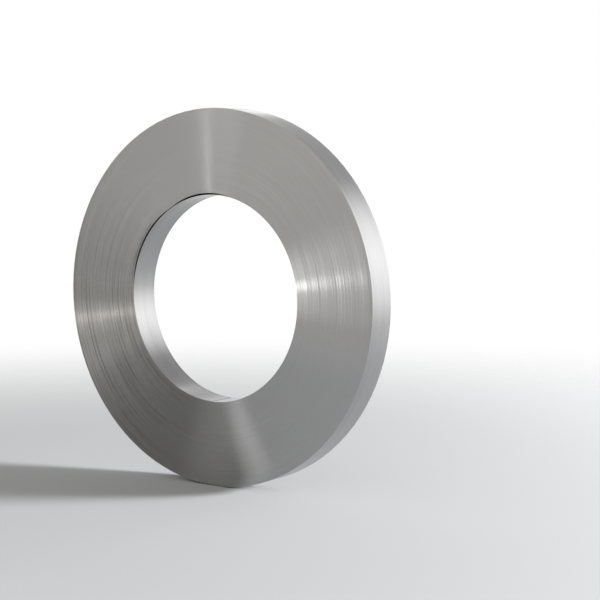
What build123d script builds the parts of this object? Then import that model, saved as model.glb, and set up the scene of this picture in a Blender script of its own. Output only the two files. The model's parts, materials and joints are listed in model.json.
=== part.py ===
"""A slit coil of steel strip, standing on its rim with its bore along Y.

The coil is one length of strip wound tight on itself, so it is one turned solid. Its turns
show on both ends as rings that stand a little proud of each other or lie a little back.
"""

import os

from build123d import *

# Driving dimensions, in millimetres
BORE_DIAMETER = 508.0
STRIP_WIDTH = 80.0
STRIP_THICKNESS = 1.0

# Laps from the bore outwards: the turns that lie flush with each other, and how far the lap
# sits along the bore from the middle, because a strip never winds quite true.
LAPS = (
    (14, 0.0),
    (22, -0.3),
    (9, 0.2),
    (31, -0.1),
    (17, 0.4),
    (26, -0.2),
    (12, 0.3),
    (35, 0.0),
    (15, -0.4),
    (14, 0.2),
    (16, 0.0),
)

turns = sum(lap_turns for lap_turns, _ in LAPS)
bore_radius = BORE_DIAMETER / 2
outer_radius = bore_radius + turns * STRIP_THICKNESS

# The bore's axis runs along Y, at the height that puts the rim on the ground.
bore_axis = Axis((0, 0, outer_radius), (0, 1, 0))
# Sketch X is the radius, measured straight up from the axis, and sketch Y runs along the bore.
section_plane = Plane(origin=(0, 0, outer_radius), x_dir=(0, 0, 1), z_dir=(-1, 0, 0))

with BuildPart() as coil:
    with BuildSketch(section_plane):
        lap_inner_radius = bore_radius
        for lap_turns, shift in LAPS:
            lap_depth = lap_turns * STRIP_THICKNESS
            with Locations((lap_inner_radius + lap_depth / 2, shift)):
                Rectangle(lap_depth, STRIP_WIDTH)
            lap_inner_radius += lap_depth
    revolve(axis=bore_axis)

coil.part.label = "steel_coil"

os.makedirs("parts", exist_ok=True)
export_step(coil.part, "parts/steel_coil.step")

print("turns", turns, "outer diameter", 2 * outer_radius, "volume", round(coil.part.volume))
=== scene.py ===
"""A narrow coil of slit steel strip, standing on its rim in a plain studio."""

import json
import math

import bmesh
import bpy
from mathutils import Matrix, Vector, noise


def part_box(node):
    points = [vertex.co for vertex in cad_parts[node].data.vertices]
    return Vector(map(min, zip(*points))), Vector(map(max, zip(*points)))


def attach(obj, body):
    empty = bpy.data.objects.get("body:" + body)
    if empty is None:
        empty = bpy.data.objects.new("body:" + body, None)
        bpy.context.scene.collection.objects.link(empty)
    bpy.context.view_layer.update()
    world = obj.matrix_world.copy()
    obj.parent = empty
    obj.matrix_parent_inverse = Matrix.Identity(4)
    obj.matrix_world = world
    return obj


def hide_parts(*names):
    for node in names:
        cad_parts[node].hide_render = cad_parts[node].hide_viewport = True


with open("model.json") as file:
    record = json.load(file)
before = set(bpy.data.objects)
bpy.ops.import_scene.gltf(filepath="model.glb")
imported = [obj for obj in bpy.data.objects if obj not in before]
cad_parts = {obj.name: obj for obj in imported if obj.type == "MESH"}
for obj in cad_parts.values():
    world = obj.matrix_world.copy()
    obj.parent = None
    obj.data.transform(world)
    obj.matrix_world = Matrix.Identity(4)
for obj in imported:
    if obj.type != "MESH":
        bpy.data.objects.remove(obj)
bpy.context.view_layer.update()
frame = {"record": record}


# The winding
# One length of bright cold-rolled steel strip, slit to width and wound tight on a mandrel, turn on
# turn. Each slit edge slopes off to one side, where it was sheared through, so every turn shows on
# the ends as a ring. Its own weight on the strip's tail, under the coil, keeps it closed.
STRIP_THICKNESS = 0.0010
# Turns of each lap from the bore outwards, and how far the lap sits along the bore from the middle
LAPS = (
    (14, 0.0),
    (22, -0.0003),
    (9, 0.0002),
    (31, -0.0001),
    (17, 0.0004),
    (26, -0.0002),
    (12, 0.0003),
    (35, 0.0),
    (15, -0.0004),
    (14, 0.0002),
    (16, 0.0),
)
# The share of those shifts that shows here, on ends that look almost flush
LAP_SHARE = 0.15
# Clock angles are seen from the front, from the top round to the right. The strip's head in the
# bore and its tail on the rim both lie at this one, just past the lowest point.
TAIL_CLOCK = math.radians(181)
STEPS_AROUND = 96
# The grooves between the turns: how deep they are, how uneven they are all round, and how much
# more uneven at the two sides where the turns lie slacker
GROOVE_DEPTH = 0.00018
GROOVE_SCATTER = 0.5
SLACK_SCATTER = 1.5
SLACK_CLOCK = math.radians(76)
# The higher this power, the closer a change at two opposite sides keeps to them
SIDE_FOCUS = 4
# How fast the unevenness changes along the strip, and the slice of the noise that it is read from
CHANGES_PER_TURN = 0.45
NOISE_SLICE = 0.37
# The highest point of a slit edge, in thicknesses from its middle, towards the bore
CROWN_LEAN = -0.40
# How far the first and the last turns' edges lie back
EDGE_DROP = 0.0005
# Where the first turn has sprung off the next: clock angle, half the length as an angle, and width
GAPS = (
    (math.radians(303), math.radians(25), 0.0045),
    (math.radians(350), math.radians(20), 0.0038),
)
GAP_DEPTH = 0.012
# A power under 1 makes a gap's ends blunt.
GAP_BLUNTNESS = 0.7
# The width from which a gap has its whole depth, and the turns outside it that it pushes out
GAP_OPEN = 0.0005
GAP_REACH = 12
JOIN_DISTANCE = STRIP_THICKNESS / 200
# Two points lie on one section across the strip if the sine of the angle between them is under this.
SAME_SECTION = 0.02
SHARP_FOLD = math.radians(30)

coil_low, coil_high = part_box("steel_coil")
outer_radius = (coil_high.z - coil_low.z) / 2
mandrel_bore = frame["record"]["mounts"][0]["dims"]
bore_radius = mandrel_bore["r_mm"] / 1000
strip_width = mandrel_bore["length_mm"] / 1000
centre = Vector((0, 0, coil_low.z + outer_radius))
# A spiral grows by one thickness on its way round, so it holds one turn fewer than the ring is deep.
turn_count = round((outer_radius - bore_radius) / STRIP_THICKNESS) - 1

lap_middles = []
turns_before = 0
for lap_turns, shift in LAPS:
    lap_middles.append((turns_before + lap_turns / 2, shift * LAP_SHARE))
    turns_before += lap_turns


def lap_shift(place):
    """How far the strip sits along the bore after this many turns."""
    for (start, here), (end, there) in zip(lap_middles, lap_middles[1:]):
        if place < end:
            break
    blend = min(max((place - start) / (end - start), 0), 1)
    return here + (there - here) * blend * blend * (3 - 2 * blend)


def groove_depth(place, angle, side):
    """How deep the groove is after this many turns, at this clock angle, on this end."""
    slack = abs(math.cos(angle - SLACK_CLOCK)) ** SIDE_FOCUS
    scatter = GROOVE_SCATTER + SLACK_SCATTER * slack
    unevenness = noise.noise(Vector((place * CHANGES_PER_TURN, side, NOISE_SLICE)))
    return GROOVE_DEPTH * (1 + scatter * unevenness**3)


def gap_width(angle):
    """How far the first turn stands off the next at this clock angle."""
    width = 0
    for middle, half, widest in GAPS:
        away = abs((angle - middle + math.pi) % math.tau - math.pi)
        if away < half:
            width = max(width, widest * math.cos(away / half * math.pi / 2) ** GAP_BLUNTNESS)
    return width


winding = bmesh.new()
spiral_radius = bore_radius + turn_count * STRIP_THICKNESS
section_corners = [
    winding.verts.new((0, side * strip_width / 2, centre.z + radius))
    for side, radius in ((-1, bore_radius), (-1, spiral_radius), (1, spiral_radius), (1, bore_radius))
]
front_end, _, back_end, _ = (
    winding.edges.new((section_corners[i], section_corners[(i + 1) % 4])) for i in range(4)
)
# Two points to each turn on both ends: the groove beside it and the crown of its edge
bmesh.ops.subdivide_edges(winding, edges=[front_end, back_end], cuts=2 * turn_count - 1)
# The spin stays open, because a spiral ends one thickness further out than it began.
spun = bmesh.ops.spin(
    winding,
    geom=winding.verts[:] + winding.edges[:],
    cent=centre,
    axis=(0, 1, 0),
    angle=math.tau,
    steps=STEPS_AROUND,
    use_merge=False,
)
last_section = {item for item in spun["geom_last"] if isinstance(item, bmesh.types.BMVert)}
for vert in winding.verts:
    offset = vert.co - centre
    clock = math.atan2(offset.x, offset.z)
    step = round(clock / math.tau * STEPS_AROUND) % STEPS_AROUND
    turned = 1.0 if vert in last_section else step / STEPS_AROUND
    # Whole at a groove and a half at a crown
    turn = round((offset.xz.length - bore_radius) / STRIP_THICKNESS * 2) / 2
    place = turn + turned
    side = 1 if offset.y > 0 else -1
    angle = TAIL_CLOCK + turned * math.tau
    gap = gap_width(angle)
    height = strip_width / 2
    height -= EDGE_DROP * (math.exp(-place) + math.exp(place - turn_count - 1))
    lean = CROWN_LEAN
    if turn == int(turn):
        lean = 0
        height -= groove_depth(place, angle, side)
    radius = bore_radius + (place + lean) * STRIP_THICKNESS
    if turn == 1:
        height -= GAP_DEPTH * min(gap / GAP_OPEN, 1)
    elif turn > 1:
        radius += gap * max(1 - (turn - 1) / GAP_REACH, 0)
    along_bore = side * height + lap_shift(place)
    vert.co = centre + Vector((radius * math.sin(angle), along_bore, radius * math.cos(angle)))
# Each turn's last section joins the next turn's first. The strip's two cut ends are left to close.
bmesh.ops.remove_doubles(winding, verts=winding.verts[:], dist=JOIN_DISTANCE)
bmesh.ops.holes_fill(winding, edges=[edge for edge in winding.edges if edge.is_boundary])
bmesh.ops.recalc_face_normals(winding, faces=winding.faces[:])
for face in winding.faces:
    face.smooth = True
    spread = max(vert.co.y for vert in face.verts) - min(vert.co.y for vert in face.verts)
    face.material_index = 1 if spread > strip_width / 2 else 0
# Edges that run round the coil stay sharp, as do the strip's cut ends. Those across a turn are smooth.
for edge in winding.edges:
    here, there = (vert.co - centre for vert in edge.verts)
    runs_across = abs(here.xz.normalized().cross(there.xz.normalized())) < SAME_SECTION
    edge.smooth = runs_across and edge.calc_face_angle(0) < SHARP_FOLD

coil_mesh = bpy.data.meshes.new("wound_strip")
winding.to_mesh(coil_mesh)
winding.free()
coil = bpy.data.objects.new("wound_strip", coil_mesh)
bpy.context.collection.objects.link(coil)


def node(tree, kind, *values, **named):
    """Adds a node of this kind to a tree.

    Sockets and values go to its inputs in order, or by name with a capital. A name in small
    letters is one of the node's own settings.
    """
    made = tree.nodes.new("ShaderNode" + kind)
    for name, value in named.items():
        if name.islower():
            setattr(made, name, value)
    inputs = list(zip(made.inputs, values))
    for name, value in named.items():
        if not name.islower():
            inputs.append((made.inputs[name.replace("_", " ")], value))
    for socket, value in inputs:
        if isinstance(value, bpy.types.NodeSocket):
            tree.links.new(value, socket)
        else:
            socket.default_value = value
    return made


# A Mix node's sockets for colours, which come after those for numbers and vectors
MIX_FIRST = 6
MIX_SECOND = 7
MIX_RESULT = 2


def mixed_colours(tree, factor, first, second):
    """Adds a mix of two colours, and gives its result. The second may be a plain colour."""
    mix = node(tree, "Mix", data_type="RGBA", Factor=factor)
    tree.links.new(first, mix.inputs[MIX_FIRST])
    if isinstance(second, bpy.types.NodeSocket):
        tree.links.new(second, mix.inputs[MIX_SECOND])
    else:
        mix.inputs[MIX_SECOND].default_value = second
    return mix.outputs[MIX_RESULT]


def towards(tree, direction, clock):
    """Adds the cosine of the angle between a direction from the bore's axis and a clock angle."""
    aim = (math.sin(clock), 0, math.cos(clock))
    return node(tree, "VectorMath", direction, aim, operation="DOT_PRODUCT").outputs["Value"]


# Streaks that run round the coil with the strip: the rolling grain on its faces, and the
# differences from turn to turn on its ends. They read the distance across them, which is the
# radius on an end and the place along the bore on the rim and in the bore. The group also gives
# the two sides where the ends are rubbed, and a mask of painted shade: darker rings at the lower
# left, which stand in for streaks of reflection there, and fainter ones round the foot.
RUBBED_CLOCK = math.radians(245)
# Where the painted shade lies faintly round the foot, and how strong it is there
FOOT_CLOCK = math.radians(210)
FOOT_SHADE = 0.22
streaks = bpy.data.node_groups.new("winding_streaks", "ShaderNodeTree")
for name in ("Lines per metre", "Around", "Detail"):
    streaks.interface.new_socket(name, in_out="INPUT", socket_type="NodeSocketFloat")
for name in ("Streaks", "Rubbed sides", "Painted shade side"):
    streaks.interface.new_socket(name, in_out="OUTPUT", socket_type="NodeSocketFloat")
given = streaks.nodes.new("NodeGroupInput").outputs
results = streaks.nodes.new("NodeGroupOutput").inputs
place_on_coil = node(streaks, "TexCoord")
from_centre = node(streaks, "Mapping", Vector=place_on_coil.outputs["Object"], Location=-centre)
parts = node(streaks, "SeparateXYZ", from_centre.outputs["Vector"])
flat = node(streaks, "CombineXYZ", X=parts.outputs["X"], Z=parts.outputs["Z"]).outputs["Vector"]
from_axis = node(streaks, "VectorMath", flat, operation="LENGTH").outputs["Value"]
direction = node(streaks, "VectorMath", flat, operation="NORMALIZE").outputs["Vector"]
across = node(streaks, "Math", from_axis, parts.outputs["Y"], operation="ADD").outputs["Value"]
lines = node(streaks, "Math", across, given["Lines per metre"], operation="MULTIPLY")
around = node(streaks, "VectorMath", direction, operation="SCALE", Scale=given["Around"])
around_parts = node(streaks, "SeparateXYZ", around.outputs["Vector"]).outputs
streak_place = node(
    streaks, "CombineXYZ", around_parts["X"], lines.outputs["Value"], around_parts["Z"]
)
streak_noise = node(
    streaks, "TexNoise", Vector=streak_place.outputs["Vector"], Scale=1.0, Detail=given["Detail"]
)
streaks.links.new(streak_noise.outputs["Fac"], results["Streaks"])
side_cosine = towards(streaks, direction, RUBBED_CLOCK)
either_side = node(streaks, "Math", side_cosine, operation="ABSOLUTE").outputs["Value"]
rubbed = node(streaks, "Math", either_side, SIDE_FOCUS, operation="POWER").outputs["Value"]
streaks.links.new(rubbed, results["Rubbed sides"])
# Painted shade: darker rings on the rubbed side at the lower left, standing in for streaks of
# reflection, and fainter round the foot, where the ends mirror the coil's shadow
left_half = node(streaks, "Math", side_cosine, 0.0, operation="GREATER_THAN").outputs["Value"]
left_painted_shade = node(streaks, "Math", rubbed, left_half, operation="MULTIPLY").outputs["Value"]
foot_cosine = towards(streaks, direction, FOOT_CLOCK)
near_foot = node(streaks, "Math", foot_cosine, 0.0, operation="MAXIMUM").outputs["Value"]
foot_painted_shade = node(streaks, "Math", near_foot, FOOT_SHADE, operation="MULTIPLY").outputs["Value"]
painted_shade_mask = node(streaks, "Math", left_painted_shade, foot_painted_shade, operation="MAXIMUM").outputs["Value"]
streaks.links.new(painted_shade_mask, results["Painted shade side"])

# The middle of the noise, and the low and high values between which it mostly stays
NOISE_MIDDLE = 0.5
NOISE_LOW = 0.3
NOISE_HIGH = 0.7
# The darker rings of painted shade, which stand in for streaks of reflection: how many to a
# metre, and the noise at which they begin and are full
SHADE_RING_LINES = 260
SHADE_RING_BEGINS = 0.52
SHADE_RING_FULL = 0.34


def placed_streaks(tree, lines, around, detail):
    """Places the streaks in a material, and gives what they put out."""
    group = node(
        tree, "Group", node_tree=streaks, Lines_per_metre=lines, Around=around, Detail=detail
    )
    return group.outputs


def strip_steel(name, dark, light, smooth, rough, tint_lines, gloss_lines, relief, grain, shade_colour=None):
    """Bright steel with streaks in its grey and in its gloss.

    If it is given the colour of a painted shade, it has darker rings of painted shade at the lower
    left as well, which stand in for streaks of reflection, and its gloss is streaked only at the two
    rubbed sides.
    """
    material = bpy.data.materials.new(name)
    material.use_nodes = True
    tree = material.node_tree
    tree.nodes.clear()
    tints = placed_streaks(tree, tint_lines, around=0.9, detail=4.0)
    fine = placed_streaks(tree, gloss_lines, around=1.3, detail=3.0)
    tint = node(tree, "ValToRGB", Fac=tints["Streaks"])
    stops = ((NOISE_LOW, dark), (NOISE_HIGH, light))
    for element, (position, grey) in zip(tint.color_ramp.elements, stops):
        element.position = position
        element.color = (grey, grey, grey, 1)
    colour = tint.outputs["Color"]
    gloss_streaks = fine["Streaks"]
    if shade_colour:
        evened = node(tree, "Mix", Factor=fine["Rubbed sides"], A=NOISE_MIDDLE, B=fine["Streaks"])
        gloss_streaks = evened.outputs["Result"]
        # Painted shade: darker rings, laid at the lower left, that stand in for streaks of reflection
        shade_streaks = placed_streaks(tree, SHADE_RING_LINES, around=1.1, detail=2.0)
        rings = node(
            tree, "MapRange", Value=shade_streaks["Streaks"], From_Min=SHADE_RING_BEGINS, From_Max=SHADE_RING_FULL
        )
        shown = node(
            tree, "Math", rings.outputs["Result"], shade_streaks["Painted shade side"], operation="MULTIPLY"
        )
        colour = mixed_colours(tree, shown.outputs["Value"], colour, (*shade_colour, 1))
    gloss = node(
        tree,
        "MapRange",
        Value=gloss_streaks,
        From_Min=NOISE_LOW,
        From_Max=NOISE_HIGH,
        To_Min=smooth,
        To_Max=rough,
    )
    bump = node(tree, "Bump", Strength=1.0, Distance=relief, Height=fine["Streaks"])
    tangent = node(tree, "Tangent", direction_type="RADIAL", axis="Y")
    # A quarter turn spreads the gloss across the streaks.
    steel = node(
        tree,
        "BsdfPrincipled",
        Base_Color=colour,
        Metallic=1.0,
        Roughness=gloss.outputs["Result"],
        Anisotropic=grain,
        Anisotropic_Rotation=0.25,
        Tangent=tangent.outputs["Tangent"],
        Normal=bump.outputs["Normal"],
    )
    node(tree, "OutputMaterial", Surface=steel.outputs["BSDF"])
    return material


slit_edges = strip_steel(
    "slit_edges",
    dark=0.400,
    light=0.416,
    smooth=0.07,
    rough=0.275,
    tint_lines=350,
    gloss_lines=550,
    relief=0.00002,
    grain=1.0,
    # The colour of the painted shade rings, which stand in for streaks of reflection
    shade_colour=(0.272, 0.255, 0.225),
)
rolled_faces = strip_steel(
    "rolled_faces",
    dark=0.37,
    light=0.41,
    smooth=0.20,
    rough=0.27,
    tint_lines=40,
    gloss_lines=400,
    relief=0.00003,
    grain=0.3,
)
coil_mesh.materials.append(slit_edges)
coil_mesh.materials.append(rolled_faces)
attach(coil, "root")
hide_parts("steel_coil")


# The floor
# A plain studio floor, painted a pale matt grey, on which the coil's shadow lies. Further out it
# thins away, and the white of the room shows instead.
FLOOR_RADIUS = 9.0
FLOOR_GREY = (0.535, 0.54, 0.55, 1)
FADE_BEGINS = 0.8
FADE_ENDS = 3.2
floor_shape = bmesh.new()
bmesh.ops.create_circle(floor_shape, cap_ends=True, segments=64, radius=FLOOR_RADIUS)
floor_mesh = bpy.data.meshes.new("floor")
floor_shape.to_mesh(floor_mesh)
floor_shape.free()
floor = bpy.data.objects.new("floor", floor_mesh)
bpy.context.collection.objects.link(floor)
paint = bpy.data.materials.new("pale_floor")
paint.use_nodes = True
tree = paint.node_tree
tree.nodes.clear()
floor_place = node(tree, "TexCoord")
distance = node(tree, "VectorMath", floor_place.outputs["Object"], operation="LENGTH")
fade = node(
    tree,
    "MapRange",
    interpolation_type="SMOOTHSTEP",
    Value=distance.outputs["Value"],
    From_Min=FADE_BEGINS,
    From_Max=FADE_ENDS,
)
matt = node(tree, "BsdfDiffuse", Color=FLOOR_GREY)
clear = node(tree, "BsdfTransparent")
faded = node(
    tree, "MixShader", fade.outputs["Result"], matt.outputs["BSDF"], clear.outputs["BSDF"]
)
node(tree, "OutputMaterial", Surface=faded.outputs["Shader"])
floor_mesh.materials.append(paint)


# The light
# A pale room, white behind the coil and greyer in front of it, with one large lamp for the shadow
# and soft panels and cards round the coil. The turns draw out what the ends mirror, so each panel
# in front makes one light patch there.
UPRIGHT = (0, 0, 1)
# An area lamp's power for each square metre that glows at a strength of 1
POWER_PER_AREA = 4


def soften(lamp):
    """Makes a lamp fade out towards its edges, as cloth in front of it does."""
    lamp.use_nodes = True
    tree = lamp.node_tree
    tree.nodes.clear()
    spot = node(tree, "NewGeometry").outputs["Parametric"]
    # From -1 to 1 across the lamp, and 0 in its middle
    centred = node(tree, "VectorMath", spot, (2, 2, 2), (-1, -1, -1), operation="MULTIPLY_ADD")
    from_middle = centred.outputs["Vector"]
    squared = node(tree, "VectorMath", from_middle, from_middle, operation="MULTIPLY")
    left_over = node(tree, "VectorMath", (1, 1, 1), squared.outputs["Vector"], operation="SUBTRACT")
    sides = node(tree, "SeparateXYZ", left_over.outputs["Vector"]).outputs
    bright = node(tree, "Math", sides["X"], sides["Y"], operation="MULTIPLY")
    glow = node(tree, "Emission", Strength=bright.outputs["Value"])
    node(tree, "OutputLight", Surface=glow.outputs["Emission"])


def panel(name, place, width, height, strength, long_axis=UPRIGHT, aim=centre, soft=True):
    """Adds a flat lamp at this place, which faces its aim and glows at this strength."""
    lamp = bpy.data.lights.new(name, "AREA")
    lamp.shape = "RECTANGLE"
    lamp.size = width
    lamp.size_y = height
    lamp.energy = strength * width * height * POWER_PER_AREA
    made = bpy.data.objects.new(name, lamp)
    away = (Vector(place) - Vector(aim)).normalized()
    right = Vector(long_axis).cross(away).normalized()
    upward = away.cross(right)
    facing = Matrix((right, upward, away)).transposed().to_4x4()
    made.matrix_world = Matrix.Translation(place) @ facing
    made.visible_camera = False
    bpy.context.collection.objects.link(made)
    if soft:
        soften(lamp)
    return made


def floor_card(name, place, width, length, strength, long_axis):
    """Adds a pale card that lies on the floor and throws light straight up."""
    above = (place[0], place[1], 1)
    panel(name, place, width, length, strength, long_axis=long_axis, aim=above)


# The lamp that casts the shadow, which the steel doesn't mirror
key = panel("key", (7.41, 4.14, 2.35), width=1.6, height=1.6, strength=190.0, soft=False)
key.visible_glossy = False
key.data.color = (0.985, 0.995, 1.0)

# Behind the coil: the light on the rim at the right and at the top
panel("window", (1.8, 2.6, 1.30), width=2.1, height=3.1, strength=1.22)
panel("top_lamp", (-0.72, 1.22, 1.25), width=0.40, height=0.16, strength=1.5)

# In front on the left and high: the line at 12 o'clock, and soft light round it
LINE_LEAN = (0.05, 0.27, 0.96)
panel("line_lamp", (-2.10, -2.38, 1.82), width=0.02, height=3.6, strength=3.6, long_axis=LINE_LEAN)
panel("top_glow", (-1.88, -2.48, 2.25), width=0.6, height=0.9, strength=0.22)
panel("left_wall", (-2.76, -1.61, 1.19), width=2.0, height=1.5, strength=0.125)

# In front and level with the bore: the patch at 3 o'clock, and soft light round it
PATCH_LEAN = (-0.156, 0, 0.988)
panel("low_lamp", (-0.28, -1.60, 0.44), width=0.44, height=0.09, strength=3.2, long_axis=PATCH_LEAN)
panel("low_halo", (-0.32, -1.60, 0.465), width=0.50, height=0.56, strength=0.58, long_axis=PATCH_LEAN)
panel("bore_glow", (-0.115, -1.62, 0.455), width=0.26, height=0.58, strength=0.38)
panel("low_glow", (-0.40, -2.40, 0.46), width=1.60, height=1.00, strength=0.20, long_axis=PATCH_LEAN)

# On the floor, each at a height of its own: the streak at 6 o'clock, and soft light beside it
floor_card("floor_card", (-0.10, -0.30, 0.010), 0.10, 0.68, strength=0.34, long_axis=(1, 1, 0))
floor_card("shade_card", (-0.155, -0.235, 0.005), 0.23, 0.65, strength=0.11, long_axis=(1, 1, 0))
floor_card("front_card", (-0.05, -1.75, 0.004), 0.9, 1.5, strength=0.09, long_axis=(0, 1, 0))

# On the left and low, warm, tilted up: the patch at 9 o'clock, and soft light round it
ABOVE_COIL = (0, 0, 2.4)
side_lamp = panel(
    "side_lamp", (-1.80, -0.62, 0.187), width=0.60, height=0.10, strength=0.88, aim=ABOVE_COIL
)
side_halo = panel(
    "side_halo", (-1.83, -0.63, 0.177), width=0.60, height=0.30, strength=0.56, aim=ABOVE_COIL
)
for lamp in (side_lamp, side_halo):
    lamp.data.color = (1.0, 0.93, 0.86)

# The room's walls go over from the front one to the back one between these directions along Y.
BACK_BEGINS = -0.05
BACK_FULL = 0.5
world = bpy.data.worlds.new("room")
bpy.context.scene.world = world
world.use_nodes = True
tree = world.node_tree
tree.nodes.clear()
look = node(tree, "TexCoord")
look_parts = node(tree, "SeparateXYZ", look.outputs["Generated"]).outputs
behind = node(
    tree,
    "MapRange",
    interpolation_type="SMOOTHSTEP",
    Value=look_parts["Y"],
    From_Min=BACK_BEGINS,
    From_Max=BACK_FULL,
)
rise = node(tree, "MapRange", Value=look_parts["Z"], From_Min=-1.0, From_Max=1.0)


def wall(tint, *stops):
    """The colour of a wall by height. A stop is a height from -1 to 1 and the grey there."""
    ramp = node(tree, "ValToRGB", Fac=rise.outputs["Result"])
    elements = ramp.color_ramp.elements
    while len(elements) < len(stops):
        elements.new(0.5)
    for element, (height, grey) in zip(elements, stops):
        element.position = (height + 1) / 2
        element.color = (grey * tint[0], grey * tint[1], grey * tint[2], 1)
    return ramp.outputs["Color"]


front_wall = wall(
    (1.02, 1.0, 0.965),
    (-1, 0.58),
    (-0.4, 0.60),
    (-0.2, 0.70),
    (-0.09, 0.60),
    (0.0, 0.635),
    (0.2, 0.76),
    (0.3, 0.80),
    (0.45, 1.0),
    (0.56, 0.95),
    (0.7, 0.36),
    (1, 0.10),
)
back_wall = wall((1, 1, 1), (-1, 1.0), (0.2, 1.0), (0.4, 0.70), (0.6, 0.68), (0.8, 0.20), (1, 0.05))
walls = mixed_colours(tree, behind.outputs["Result"], front_wall, back_wall)
room = node(tree, "Background", Color=walls, Strength=1.0)
node(tree, "OutputWorld", Surface=room.outputs["Background"])


# The camera
# It stands to the right in front of the coil, a little above its middle, with a long lens. The
# picture is square, and the coil sits to the left in it.
IMAGE_SIDE = 600
FOCAL_PIXELS = 1536.7
SENSOR_WIDTH = 36.0
CAMERA_PLACE = Vector((2.3319, -2.9835, 0.8018))
CAMERA_LOOK = Vector((-0.5727, 0.8148, -0.0903))
camera = bpy.data.cameras.new("camera")
camera.sensor_width = SENSOR_WIDTH
camera.lens = FOCAL_PIXELS / IMAGE_SIDE * SENSOR_WIDTH
stand = bpy.data.objects.new("camera", camera)
stand.location = CAMERA_PLACE
stand.rotation_euler = CAMERA_LOOK.to_track_quat("-Z", "Y").to_euler()
bpy.context.collection.objects.link(stand)
bpy.context.scene.camera = stand
bpy.context.scene.view_settings.view_transform = "Standard"
